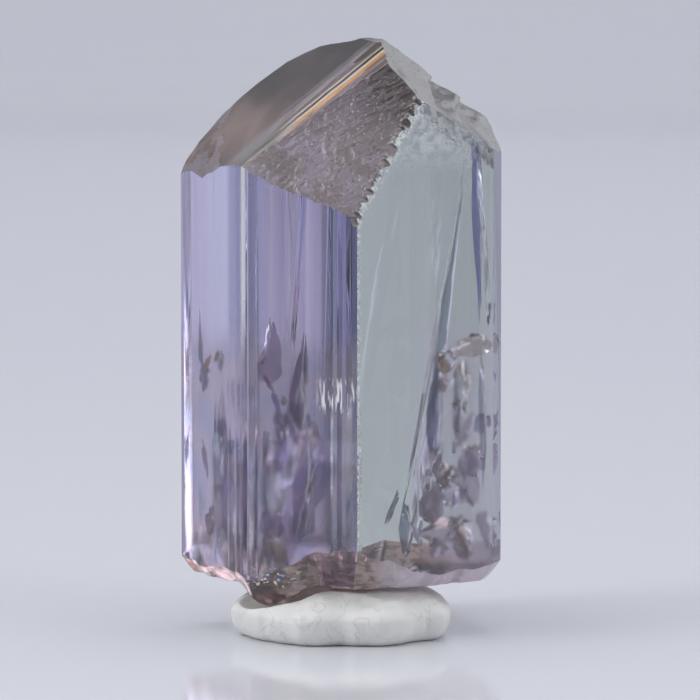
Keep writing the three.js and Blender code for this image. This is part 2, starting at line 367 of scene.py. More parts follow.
def bevelGrooves(u, v):
    # Sharp-edged grooves across v: a sine with its lower half folded up
    return -crystalShape["grooveDepth"] * np.abs(np.sin(v * 9.5 + 0.4))


def rightLedges(u, v):
    # Ledges that drop at once down the slope, come back slowly, and fade out towards the front
    ease = np.clip((u + 0.51 * v - 0.1) / 1.4, 0, 1)
    fromFront = ease * ease * (3 - 2 * ease)
    drop = np.zeros_like(u)
    for ledge in ledges:
        past = -v - ledge["at"] - 0.1 * np.sin(u * 2.3)
        inside = (past > 0) & (past < ledge["run"])
        drop += inside * ledge["depth"] * (1 - past / ledge["run"]) * np.clip(past / 0.12, 0, 1)
    return etched(0.08, 0.5, 21)(u, v) - drop * fromFront


def outlineRadius(angle):
    # Distance from the base's centre to the prism's outline: the nearest crossing of the ray with a side
    points = np.array(list(corner.values())) - crystalShape["baseCentre"]
    a, b = points[:, None, :], np.roll(points, -1, axis=0)[:, None, :]
    dx, dy = np.cos(angle)[None, :], np.sin(angle)[None, :]
    turn = dx * (b - a)[..., 1] - dy * (b - a)[..., 0]
    along = (a[..., 0] * (b - a)[..., 1] - a[..., 1] * (b - a)[..., 0]) / turn
    share = (a[..., 0] * dy - a[..., 1] * dx) / turn
    hit = (along > 0) & (share >= -1e-9) & (share <= 1 + 1e-9)
    return np.where(hit, along, np.inf).min(axis=0)


def rimHeight(angle):
    degrees = np.degrees(angle) % 360
    degrees = np.where(degrees > brokenRim[-1, 0], degrees - 360, degrees)
    return np.interp(degrees, brokenRim[:, 0], brokenRim[:, 1])


def baseHeight(x, y):
    # Height of the broken base: flat where it rests, rising to the rim in scallops, with one low corner
    dx, dy = x - crystalShape["baseCentre"][0], y - crystalShape["baseCentre"][1]
    angle = np.arctan2(dy, dx)
    radius = outlineRadius(angle.ravel()).reshape(angle.shape)
    share = np.hypot(dx, dy) / radius
    rim, rest = rimHeight(angle), crystalShape["restHeight"]
    coarse = 0.3 * (latticeNoise(x / 1.3, y / 1.3, 5) - 0.55)
    fine = 0.12 * (latticeNoise(x / 0.5, y / 0.5, 9) - 0.5)
    rough = np.maximum(0, coarse + fine) * np.minimum(1, share * 1.4)
    scallop = 0.7 + 0.6 * latticeNoise(x / 0.8, y / 0.8, 13)
    slopeWidth = (rim - rest) * scallop / radius
    climb = np.maximum(0, (share - 1 + slopeWidth) / slopeWidth)
    fromLow = ((x - lowCorner["at"][0]) / lowCorner["reach"][0]) ** 2
    fromLow = fromLow + ((y - lowCorner["at"][1]) / lowCorner["reach"][1]) ** 2
    low = lowCorner["drop"] * np.maximum(0, 1.15 * np.exp(-1.6 * fromLow) - 0.15)
    ribs = 0.0
    for centre, pitch in crystalShape["shellCentres"]:
        away = np.hypot(x - centre[0], y - centre[1])
        ridges = ridged(away / pitch, angle * 3, 61) ** 2
        ribs = ribs + crystalShape["ribHeight"] * ridges * np.exp(-((away / 2.2) ** 2))
    return rest + rough + (rim - rest) * climb ** 1.4 + ribs * np.clip(4 * climb, 0, 1) - low


def baseBlock():
    # Everything above the broken base: rings round its centre that crowd towards the rim, closed far above
    rays, rings = crystalShape["baseRays"], crystalShape["baseRings"]
    angle = np.arange(rays) * 2 * np.pi / rays
    shares = 1.08 * (1 - (1 - np.linspace(0, 1, rings + 1)[1:]) ** 1.6)
    radius = outlineRadius(angle)
    x = crystalShape["baseCentre"][0] + shares[:, None] * radius * np.cos(angle)
    y = crystalShape["baseCentre"][1] + shares[:, None] * radius * np.sin(angle)
    ringPoints = np.stack([x, y, baseHeight(x, y)], -1).reshape(-1, 3)
    centre = (*crystalShape["baseCentre"], crystalShape["restHeight"])
    top = (*crystalShape["baseCentre"], 10 * crystalShape["blockReach"])
    points = np.vstack([centre, ringPoints, top])
    i = np.arange(rays)
    following = (i + 1) % rays
    inner = np.stack([np.zeros(rays, int), 1 + following, 1 + i], 1)
    last = 1 + (rings - 1) * rays
    outer = np.stack([last + i, last + following, np.full(rays, len(points) - 1)], 1)
    middle = gridFaces(rings, rays, closedRows=True, offset=1)
    return makeObject("baseBlock", points, inner.tolist() + middle.tolist() + outer.tolist())


def addCut(body, operation, **operand):
    cut = body.modifiers.new(operation.lower(), "BOOLEAN")
    cut.operation = operation
    cut.solver = "MANIFOLD"
    for name, value in operand.items():
        setattr(cut, name, value)


def combine(body, others, operation):
    # Body kept only inside each of the others in turn, or cut by all of them at once, as body's own mesh
    blocks = bpy.data.collections.new("blocks")
    if operation == "INTERSECT":
        for other in others:
            addCut(body, operation, object=other)
    else:
        for other in others:
            blocks.objects.link(other)
        addCut(body, operation, operand_type="COLLECTION", collection=blocks)
    result = bpy.data.meshes.new_from_object(body.evaluated_get(bpy.context.evaluated_depsgraph_get()))
    body.modifiers.clear()
    body.data = result
    for other in others:
        bpy.data.objects.remove(other)
    bpy.data.collections.remove(blocks)
    return body


def markFaces(mesh, **marks):
    # The marks that the material reads on each face, three numbers each
    count = len(mesh.polygons)
    for name in ("growthNormal", "faceFinish", "roofFace", "crackFace", "crackColour"):
        mark = mesh.attributes.new(name, "FLOAT_VECTOR", "FACE")
        values = np.broadcast_to(marks.get(name, (0.0, 0.0, 0.0)), (count, 3))
        mark.data.foreach_set("vector", np.ascontiguousarray(values, dtype=float).ravel())


def markOuterFaces(mesh):
    # growthNormal is the face's outward normal, faceFinish is (etched, smooth roof, broken) and roofFace is
    # (ridge bevel, front, right slope), each 0 or 1. A face that looks up belongs to the roof face whose
    # plane it lies nearest to
    count = len(mesh.polygons)
    normals, centres = np.empty(count * 3), np.empty(count * 3)
    mesh.polygons.foreach_get("normal", normals)
    mesh.polygons.foreach_get("center", centres)
    normals, centres = normals.reshape(-1, 3), centres.reshape(-1, 3)
    names = list(roof)
    through = np.array([roof[name]["through"] for name in names])
    planes = np.array([(-roof[name]["rise"][0], -roof[name]["rise"][1], 1.0) for name in names])
    planes /= np.linalg.norm(planes, axis=1)[:, None]
    away = np.abs(((centres[:, None, :] - through) * planes).sum(-1)) + 1.5 * (1 - normals @ planes.T)
    nearest = away.argmin(axis=1)
    side = np.abs(normals[:, 2]) < 0.02
    up = (centres[:, 2] > 8) & ~side

    def belongs(*some):
        return up & np.isin(nearest, [names.index(name) for name in some])

    bevel, smooth = belongs("ridgeBevel"), belongs("smoothDome", "crestLeft", "crestCorner")
    front, slope = belongs("etchedFront"), belongs("rightSlope", "ridgeRight", "crestRight")
    etchedFaces = up & ~smooth & ~bevel
    markFaces(
        mesh,
        growthNormal=normals,
        faceFinish=np.stack([etchedFaces, smooth, ~up & ~side], 1),
        roofFace=np.stack([bevel, front, slope], 1),
    )


# Cracks inside the crystal: thin, curved, lens-shaped gaps. Each is placed as it shows from the front: the
# point on the near face where it shows, x and z in mm, and how far behind that point it lies on the bent
# ray. Yaw, pitch and roll in degrees turn it away from facing that ray, and taper widens its upper end
nearFace = {
    "right": {"slope": 0.7, "ray": (-0.261, 0.963, -0.062)},
    "frontLeft": {"slope": -0.527, "ray": (0.204, 0.977, -0.062)},
    "farLeft": {"slope": -1.641, "ray": (0.473, 0.879, -0.062)},
}
namedCracks = (
    # face, (x, z, depth), half width and height, (yaw, pitch, roll), bend, taper, colour, frost-and-glint
    # share
    ("right", (2.85, 8.9, 2.9), (0.5, 5.0), (84, 0, 11.6), 0.1, 0.0, "#e6eaf0", 0.0),
    ("right", (3.25, 10.4, 2.4), (0.17, 3.3), (24, 0, 9), 0.03, -0.8, "#b4c0cc", 0.0),
    ("right", (4.14, 12.1, 1.1), (0.17, 2.45), (20, 0, -2), 0.03, 0.75, "#9c9ad0", 0.0),
    ("right", (4.4, 11.9, 0.8), (0.2, 2.1), (70, 0, -4), 0.12, 0.0, "#d8dae6", 0.0),
    ("right", (2.9, 6.9, 2.0), (0.26, 1.6), (22, 4, 4), 0.12, 0.0, "#888fa8", 0.0),
    ("right", (3.67, 7.3, 2.2), (0.36, 1.0), (6, 4, 8), 0.5, 0.0, "#dfe8e2", 0.0),
    ("right", (2.72, 5.2, 1.7), (0.3, 0.85), (-10, 6, 10), 0.45, 0.0, "#dce8e0", 0.0),
    ("right", (2.4, 5.3, 3.0), (0.75, 2.0), (62, 0, 12), -0.2, 0.0, "#c9c6d8", 0.0),
    ("right", (3.9, 9.0, 1.6), (0.7, 0.45), (8, 38, -18), 0.35, 0.0, "#d8cfc8", 0.0),
    ("right", (3.25, 8.5, 1.2), (0.35, 0.42), (14, 20, 25), 0.3, 0.0, "#b39c8c", 0.0),
    ("right", (3.15, 4.95, 1.5), (0.3, 0.42), (-8, 10, -20), 0.2, 0.0, "#8f7868", 0.0),
    ("right", (2.95, 4.2, 1.8), (0.26, 0.5), (10, -6, 15), 0.2, 0.0, "#a08a76", 0.0),
    ("right", (3.4, 4.4, 2.6), (0.5, 0.6), (28, -10, 0), 0.2, 0.0, "#ece8f4", 0.0),
    ("right", (1.58, 4.1, 2.0), (0.11, 0.6), (24, 0, 24), 0.04, 0.0, "#98a2a6", 0.0),
    ("right", (4.35, 6.8, 0.8), (0.2, 1.9), (45, 0, -1), 0.15, 0.0, "#d0d0dc", 0.0),
    ("right", (2.05, 3.4, 1.6), (0.28, 0.8), (40, 10, 10), 0.15, 0.0, "#aeb2c4", 0.0),
    ("right", (3.8, 4.9, 1.8), (0.45, 0.9), (-25, 8, -10), 0.2, 0.0, "#dcd4e2", 0.0),
    ("right", (3.4, 3.3, 2.8), (0.9, 0.45), (20, 20, 0), 0.2, 0.0, "#d8ccd6", 0.0),
    ("right", (4.5, 9.75, 0.6), (0.08, 0.4), (20, 0, 4), 0.05, 0.0, "#7c7a94", 0.0),
    # painted glints: small opaque cracks in white and blue-white colours
    ("right", (2.95, 8.3, 0.9), (0.05, 0.13), (10, 0, 0), 0.02, 0.0, "#f4e4d8", 0.7),
    ("right", (2.42, 3.5, 1.1), (0.06, 0.16), (10, 0, 12), 0.02, 0.0, "#f4ecff", 0.7),
    ("right", (4.1, 4.9, 0.8), (0.06, 0.12), (10, 0, 12), 0.02, 0.0, "#fff4fa", 0.7),
    ("right", (3.42, 5.75, 1.0), (0.07, 0.2), (10, 0, 0), 0.02, 0.0, "#d4e4ff", 0.7),
    ("right", (3.42, 4.2, 1.0), (0.06, 0.22), (10, 0, 0), 0.02, 0.0, "#b8c8ff", 0.6),
    ("right", (3.4, 3.1, 1.0), (0.05, 0.14), (10, 0, 30), 0.02, 0.0, "#f8f0ff", 0.7),
    ("frontLeft", (-1.2, 8.0, 1.2), (0.22, 1.35), (24, 0, 6), 0.06, -0.85, "#ab9bb0", 0.0),
    ("frontLeft", (-1.02, 8.6, 1.3), (0.09, 0.8), (30, 0, 0), 0.02, -0.9, "#8c8298", 0.0),
    ("frontLeft", (-1.5, 4.9, 1.9), (1.3, 2.2), (-40, 8, 0), 0.35, 0.0, "#cfc6dc", 0.0),
    ("frontLeft", (-1.0, 4.6, 0.9), (0.4, 1.7), (35, -8, 4), 0.15, 0.0, "#d6cbe0", 0.0),
    ("farLeft", (-2.45, 8.9, 1.1), (0.3, 1.0), (15, 0, 0), 0.1, -0.8, "#c0b2c6", 0.0),
    ("farLeft", (-4.1, 7.7, 1.0), (0.26, 0.35), (10, 0, 6), 0.1, 0.0, "#9498b4", 0.0),
    ("farLeft", (-3.6, 8.3, 1.0), (0.16, 0.3), (10, 0, -8), 0.1, 0.0, "#9a98b0", 0.0),
    ("farLeft", (-3.7, 5.0, 1.6), (0.7, 2.2), (-40, -10, 5), 0.35, 0.0, "#c8c0d4", 0.0),
    ("farLeft", (-3.3, 4.6, 2.4), (0.7, 1.9), (36, 10, -4), 0.3, 0.0, "#cdc8dc", 0.0),
    # painted glints: small opaque cracks in white and peach at the left edge
    ("farLeft", (-4.22, 8.9, 0.6), (0.1, 0.9), (20, 0, -3), 0.03, -0.85, "#f2ecfa", 0.6),
    ("farLeft", (-4.05, 8.1, 0.6), (0.12, 0.35), (20, 0, 40), 0.03, 0.0, "#fbe6d6", 0.7),
    ("farLeft", (-4.2, 7.8, 0.5), (0.09, 0.3), (20, 0, 10), 0.03, 0.0, "#f6eef2", 0.7),
    ("farLeft", (-3.72, 8.4, 0.7), (0.08, 0.22), (20, 0, 30), 0.03, 0.0, "#f2dcc8", 0.6),
    ("frontLeft", (-2.3, 8.55, 0.8), (0.1, 0.22), (20, 0, 20), 0.03, 0.0, "#e2d4ee", 0.6),
    ("frontLeft", (-2.1, 7.75, 0.8), (0.08, 0.3), (20, 0, -35), 0.03, 0.0, "#e8dcf4", 0.6),
    ("frontLeft", (-1.9, 7.2, 0.8), (0.1, 0.36), (20, 0, -15), 0.03, 0.0, "#dcd2f8", 0.6),
    ("frontLeft", (-1.68, 7.3, 0.9), (0.1, 0.16), (20, 0, -10), 0.03, 0.0, "#eee4da", 0.7),
)
scatteredCracks = (
    # face, count, x, z and depth ranges, half width and height ranges, tilt, colours, frost-and-glint
    # share, seed
    ("right", 14, (2.6, 4.5), (2.7, 7.9), (0.7, 3.6), (0.2, 0.5), (0.25, 0.7), 40,
     ("#e8e0f0", "#cdbcb4", "#dde2f2", "#bfb6c4", "#e6f0ea"), 0.22, 101),
    ("frontLeft", 9, (-2.6, -1.0), (2.9, 7.4), (0.7, 2.4), (0.15, 0.4), (0.3, 0.9), 25,
     ("#e6e0f0", "#bfb4d0", "#cfd2ea"), 0.0, 211),
    ("farLeft", 9, (-4.3, -3.0), (2.6, 7.4), (0.5, 3.0), (0.12, 0.35), (0.25, 0.8), 25,
     ("#e2dcec", "#aeb0cc", "#c4b4c4"), 0.0, 307),
    # painted glints: tiny opaque white, blue and peach cracks
    ("right", 6, (2.3, 4.3), (2.7, 3.6), (0.6, 1.6), (0.03, 0.08), (0.05, 0.14), 30,
     ("#ffffff", "#e4ecff", "#ffe8dc"), 0.7, 503),
)


def lensGap(centre, across, along, bend, taper, seed):
    # Two discs of rings round centre that meet at an uneven rim: centre + across * u + along * v, with u
    # widened by taper * v, lifted along their normal by bend * (share ** 2 + unevenness), and apart from
    # each other by gap * (1 - share ** 2), where share runs from 0 at the centre to 1 at the rim
    rings, rays, gap = 7, 24, crystalShape["crackGap"]
    radius = np.linspace(0, 1, rings + 1)[1:, None]
    angle = np.linspace(0, 2 * np.pi, rays, endpoint=False)[None, :]
    wobble = 1 + 0.65 * layeredNoise(np.cos(angle) * 1.7 + 9, np.sin(angle) * 1.7 + 9, seed, 3)
    v = radius * wobble * np.sin(angle)
    u = radius * wobble * np.cos(angle) * (1 + taper * np.clip(v, -1, 1))
    u, v = np.append(0, u.ravel()), np.append(0, v.ravel())
    share = np.append(0, np.repeat(radius.ravel(), rays))
    normal = np.cross(along, across)
    normal /= np.linalg.norm(normal)
    ripple = 0.007 * np.sin(share * 13 + seed) * share
    uneven = 0.7 * layeredNoise(u * 1.6 + 5, v * 1.6 + 5, seed + 3, 2)
    middle = centre + u[:, None] * across + v[:, None] * along
    middle = middle + (bend * (share ** 2 + ripple + uneven))[:, None] * normal
    half = (gap / 2 * (1 - share ** 2))[:, None] * normal
    inner = 1 + (rings - 1) * rays
    points = np.vstack([middle + half, (middle - half)[:inner]])
    i = np.arange(rays)
    cap = np.stack([np.zeros(rays, int), 1 + (i + 1) % rays, 1 + i], 1)
    outer = gridFaces(rings, rays, closedRows=True, offset=1)
    below = np.concatenate([len(share) + np.arange(inner), inner + i])
    faces = cap.tolist() + outer.tolist() + below[cap[:, ::-1]].tolist() + below[outer[:, ::-1]].tolist()
    return makeObject("lensGap", points, faces)


def crackAt(name, place, half, turn, bend, taper, colour, frostAndGlint, seed):
    # The crack's own axes: right and up across the bent ray, rolled about it, yawed about up, then pitched
    face, (x, z, depth) = nearFace[name], place
    ray = np.array(face["ray"]) / np.linalg.norm(face["ray"])
    anchor = np.array(corner["leftFront" if name == "farLeft" else "front"])
    start = np.array([x, anchor[1] + face["slope"] * (x - anchor[0]), z])
    up = np.array([0.0, 0.0, 1.0]) - ray[2] * ray
    up /= np.linalg.norm(up)
    right = np.cross(ray, up)
    yaw, pitch, roll = np.radians(turn)
    right, up = right * np.cos(roll) - up * np.sin(roll), up * np.cos(roll) + right * np.sin(roll)
    across = right * np.cos(yaw) + ray * np.sin(yaw)
    ahead = ray * np.cos(yaw) - right * np.sin(yaw)
    along = up * np.cos(pitch) + ahead * np.sin(pitch)
    lens = lensGap(start + depth * ray, half[0] * across, half[1] * along, bend, taper, seed)
    markFaces(lens.data, crackFace=(1.0, frostAndGlint, 0.0), crackColour=hexColour(colour)[:3])
    return lens


def crackObjects():
    cracks = [crackAt(*crack, 11 + i) for i, crack in enumerate(namedCracks)]
    for name, count, *ranges, tilt, colours, frostAndGlint, seed in scatteredCracks:
        low, high = np.array(ranges).T
        for i in range(count):
            draw = fixedRandom(seed + 17.3 * i + 3.1 * np.arange(9))
            x, z, depth, width, height = low + (high - low) * draw[:5] ** (1, 1.3, 1, 1.5, 1.5)
            turn = tilt * (2 * draw[5:8] - 1)
            bend = 0.8 * width * (draw[8] - 0.3)
            look = colours[i % len(colours)], frostAndGlint
            cracks.append(crackAt(name, (x, z, depth), (width, height), turn, bend, 0.0, *look, seed + i))
    return cracks


def crystalPiece():
    etch = crystalShape["etchDepth"]
    reach = crystalShape["gridReach"]
    blocks = [
        reliefBlock(roof["smoothDome"], (0.1, 0.1), domeSwell),
        reliefBlock(roof["ridgeBevel"], (reach, 0.02), bevelGrooves),
        reliefBlock(roof["crestLeft"], (0.1, 0.1), crestArch),
        reliefBlock(roof["crestCorner"], (reach, reach), flat),
        reliefBlock(roof["crestRight"], (0.1, 0.1), etched(etch, 0.6, 51)),
        reliefBlock(roof["leftShoulder"], (0.07, 0.07), shoulderArch),
        reliefBlock(roof["etchedFront"], (0.033, 0.033), frontTeeth),
        reliefBlock(roof["ridgeRight"], (0.1, 0.1), etched(etch, 0.45, 61)),
        reliefBlock(roof["rightSlope"], (0.1, 0.05), rightLedges),
        reliefBlock(roof["backLeft"], (0.1, 0.1), etched(2 * etch, 0.9, 31)),
        reliefBlock(roof["backRight"], (0.1, 0.1), etched(2 * etch, 0.9, 41)),
        baseBlock(),
    ]
    crystal = combine(prismBlock(), blocks, "INTERSECT")
    markOuterFaces(crystal.data)
    print("crystal cut:", len(crystal.data.polygons), "faces")
    cracks = crackObjects()
    crystal = combine(crystal, cracks, "DIFFERENCE")
    print("cracks opened:", len(cracks))
    crystal.name = crystal.data.name = "clear_crystal"
    crystal.data.transform(((mm, 0, 0, 0), (0, mm, 0, 0), (0, 0, mm, 0), (0, 0, 0, 1)))
    smoothShade(crystal.data, 25)
    return crystal


crystal = crystalPiece()
print("crystal:", len(crystal.data.polygons), "faces")


# Zoisite, clear and as grown: glassy prism faces with growth bands along the prism, a frosted, etched roof
# and a conchoidal break below. It passes light, bends it strongly, and its colour turns with the face
crystalFinish = {
    "sideTint": "#e2e0f8",
    "rightTint": "#ccd7cd",  # through the smooth right face: grey-green
    "veilTint": "#cdc8e2",
    "rightLowTint": "#d6d3da",
    "streakTint": "#b0aee0",
    # painted shade: the lower left faces darker and duller, as the broken base seen through them
    "lowShadeTint": "#b0a2b2",
    # painted reflections: blue-grey blotches of the base seen through the lower left faces
    "lowBlueReflectionTint": "#9698b4",
    "etchedTint": "#807163",  # through the roof: bronze
    "etchedMauveTint": "#988884",
    # dark bronze of the etched top, also painted shade in the etch pits
    "etchedDarkTint": "#5c4e48",
    "etchedSpeckTint": "#c6b8a2",
    "domeTint": "#7a604a",
    # painted shade at the dome's top, where it reflects the dim air, and the colour of its brown bands
    "domeShadeAndBandTint": "#281a10",
    "domeFootTint": "#a09a8a",
    "slopeTint": "#bdb5a8",
    "brokenTint": "#947064",
    "brokenDarkTint": "#523c33",
    "brokenPaleTint": "#dccad4",
    # frost, and also the painted highlight on the narrow left-front bevel facet
    "frostAndHighlightTint": "#e6eeea",
    # painted glints: white dashes that stand in for sparkles of light on the front-left face
    "glintDashTint": "#ffffff",
    "absorption": (0.45, 0.25, 0.72, 1.0),
    "absorptionPerMetre": 20.0,
    "ior": 1.69,
    "pitDepth": 0.03,  # mm
    "fireCover": 0.95,  # how far the palest streaks of the ridge bevel, which are painted fire, hide what lies behind
}
growthBands = (
    # x in mm where the colour through the left faces changes, from the left edge to the front edge; the
    # white stops from -2.96 to -2.84 are a painted highlight on the narrow bevel facet
    (-4.8, "#d6cce6"), (-4.1, "#d4ccea"), (-4.0, "#dadef4"), (-3.42, "#dadef4"), (-3.3, "#8f93bc"),
    (-3.02, "#9296c0"), (-2.96, "#ffffff"), (-2.84, "#ffffff"), (-2.78, "#aeb0da"), (-2.25, "#b2b2da"),
    (-2.1, "#dbd0ea"), (-0.85, "#dbd0ea"), (-0.2, "#9a9fd0"), (0.1, "#5a5e9c"), (0.5, "#52568e"),
)
bevelStreaksAndFire = (
    # share of the way across the ridge bevel, from the front; the orange, yellow and pale stops are painted
    # fire, the bevel's dispersed light
    (0.0, "#a58f84"), (0.12, "#f4ac5a"), (0.34, "#f4b870"), (0.38, "#d2dfd2"), (0.48, "#c8d2c4"),
    (0.53, "#2b2420"), (0.6, "#3a322d"), (0.65, "#e0ac76"), (0.72, "#dedac6"), (0.86, "#d0ccb6"),
    (0.92, "#57534a"), (1.0, "#8a7a70"),
)
besideStreaks = (
    # the same on the dome, beside the bevel
    (0.0, "#8a7a70"), (0.15, "#d0c9b4"), (0.3, "#8f8674"), (0.42, "#c4b39c"), (0.6, "#574c43"),
    (1.0, "#a08e82"),
)
# painted glints: hues of the sparkles painted on the front of the broken base
glintSparkHues = ((0.0, "#9fc0ff"), (0.3, "#ffffff"), (0.6, "#ffe2a4"), (0.8, "#ffffff"), (1.0, "#bff0d4"))
bevelEnd = ((0.0, "#aaa094"), (0.3, "#bdb8a8"), (0.5, "#8e8c80"), (0.7, "#b8b4a4"), (1.0, "#8c8078"))
faceMarks = {
    "growthNormal": (),
    "faceFinish": ("etched", "smooth", "broken"),
    "roofFace": ("bevel", "front", "slope"),
    "crackFace": ("crack", "frostAndGlint"),
    "crackColour": (),
}


def zoisiteMaterial(values):
    # Named signals, each worked out from earlier ones, weigh the tints, the roughness and the relief
    material, tree = newMaterial("zoisite_as_grown_and_etched")
    metres = addNode(tree, "ShaderNodeTexCoord").outputs["Object"]
    place = addNode(tree, "ShaderNodeVectorMath", {0: metres, "Scale": 1 / mm}, operation="SCALE")
    signal = {"place": place.outputs[0]}
    signal.update(zip("xyz", addNode(tree, "ShaderNodeSeparateXYZ", {0: signal["place"]}).outputs))
    for mark, parts in faceMarks.items():
        signal[mark] = addNode(tree, "ShaderNodeAttribute", attribute_name=mark).outputs["Vector"]
        signal.update(zip(parts, addNode(tree, "ShaderNodeSeparateXYZ", {0: signal[mark]}).outputs))

    for name, source, direction in (
        ("right", "growthNormal", (0.573, -0.819, 0.0)),
        ("left", "growthNormal", (-0.466, -0.885, 0.0)),
        ("farLeft", "growthNormal", (-0.854, -0.52, 0.0)),
        ("back", "growthNormal", (-0.502, 0.865, 0.0)),
        ("along", "place", (0.773, 0.164, 0.612)),  # the ridge bevel's length
        ("across", "place", (-0.427, 0.849, 0.311)),
        ("fromTeeth", "place", (-0.254, -0.845, 0.47)),  # the etched front's normal
    ):
        vectors = {0: signal[source], 1: direction}
        dot = addNode(tree, "ShaderNodeVectorMath", vectors, operation="DOT_PRODUCT")
        signal[name] = dot.outputs["Value"]
    bands = addNode(tree, "ShaderNodeCombineXYZ", {0: signal["along"], 1: signal["across"]})
    signal["bands"] = bands.outputs[0]

    for name, source, size, stretch, detail in (
        # noise: blotch size in mm, how far it is pulled out along each axis
        ("streakNoise", "place", 0.3, (1, 1, 60), 2.0),
        ("patchNoise", "place", 0.8, (1, 1, 1), 3.0),
        ("lowNoise", "place", 0.9, (1, 1, 1.5), 2.0),
        ("etchNoise", "place", 0.11, (1, 1, 1), 3.0),
        ("speckNoise", "place", 0.07, (1, 1, 1), 1.0),
        ("frostNoise", "place", 0.22, (1, 1, 1), 4.0),
        ("toothNoise", "place", 0.1, (1, 1, 1), 2.0),
        ("brokenNoise", "place", 0.35, (1, 1, 0.4), 3.0),
        ("dashNoise", "place", 0.06, (1, 1, 9), 0.0),
        ("sparkNoise", "place", 0.15, (1, 1, 0.6), 1.0),
        ("hueNoise", "place", 0.3, (1, 1, 1), 0.0),
        ("bandNoise", "bands", 0.42, (12, 1, 1), 2.0),
        ("wobbleNoise", "bands", 1.1, (2, 1, 1), 2.0),
    ):
        squeeze = [1 / k for k in stretch]
        scaled = addNode(tree, "ShaderNodeMapping", {0: signal[source], "Scale": squeeze})
        signal[name] = addNode(tree, "ShaderNodeTexNoise", {
            "Vector": scaled.outputs[0], "Scale": 1 / size, "Detail": detail,
        }).outputs["Fac"]

    signal["wobble"] = addNode(tree, "ShaderNodeMath", {
        0: signal["wobbleNoise"], 1: 0.16, 2: signal["across"],
    }, operation="MULTIPLY_ADD").outputs[0]
    for name, source, low, high in (
        # 0 at low, 1 at high, eased between them
        ("facesRight", "right", 0.85, 0.97),
        ("facesLeft", "left", 0.85, 0.97),
        ("facesFarLeft", "farLeft", 0.85, 0.97),
        ("facesBack", "back", 0.85, 0.97),
        ("lowPart", "z", 9.6, 8.2),
        ("lowPatch", "lowNoise", 0.44, 0.6),
        ("streaks", "streakNoise", 0.52, 0.66),
        ("cornerStripe", "x", -2.97, -2.94),
        ("stripeEnd", "x", -2.83, -2.86),
        ("stripeFoot", "z", 9.0, 10.6),
        ("etchedUpper", "z", 14.9, 16.4),
        ("etchedPits", "etchNoise", 0.43, 0.3),
        ("etchedSpecks", "speckNoise", 0.64, 0.72),
        ("etchedPatch", "patchNoise", 0.46, 0.58),
        ("domeUpper", "z", 15.2, 16.9),
        ("domeBands", "bandNoise", 0.42, 0.62),
        ("domeFoot", "across", 5.6, 5.1),
        ("domeFootEnd", "along", 9.3, 7.9),
        ("frostHeight", "z", 13.9, 15.0),
        ("rightCorner", "x", 1.9, 3.0),
        ("rightFoot", "z", 10.2, 8.8),
        # the zone on the front-left face where white glints are painted as dashes
        ("dashTop", "z", 8.2, 7.8),
        ("dashFoot", "z", 6.8, 7.3),
        ("dashStart", "x", -0.9, -0.45),
        ("dashLines", "dashNoise", 0.5, 0.68),
        # the zone on the base rim's front where coloured glints are painted
        ("sparkPatch", "sparkNoise", 0.57, 0.66),
        ("sparkTop", "z", 2.35, 2.0),
        ("sparkFoot", "z", 1.45, 1.75),
        ("sparkStart", "x", -3.0, -2.6),
        ("sparkEnd", "x", -0.7, -1.4),
        ("sparkFront", "y", 0.2, -0.4),
        ("veilTop", "z", 6.25, 6.1),
        ("veilFoot", "z", 5.4, 5.6),
        ("veilEdge", "x", -0.9, -0.76),
        ("veilStart", "x", -2.25, -2.1),
        ("veilEnd", "x", -1.36, -1.5),
        ("edgeRight", "x", 0.64, 0.54),
        ("besideBevel", "wobble", 5.7, 5.55),
        ("frostPatch", "frostNoise", 0.36, 0.6),
        ("teethReach", "fromTeeth", 8.42, 8.66),
        ("teethPatch", "toothNoise", 0.47, 0.53),
        ("baseRight", "x", 0.8, 2.0),
        ("baseBands", "brokenNoise", 0.45, 0.58),
        ("bevelUpper", "along", 7.4, 8.8),
    ):
        signal[name] = addNode(tree, "ShaderNodeMapRange", {
            "Value": signal[source], "From Min": low, "From Max": high,
        }, interpolation_type="SMOOTHSTEP").outputs[0]

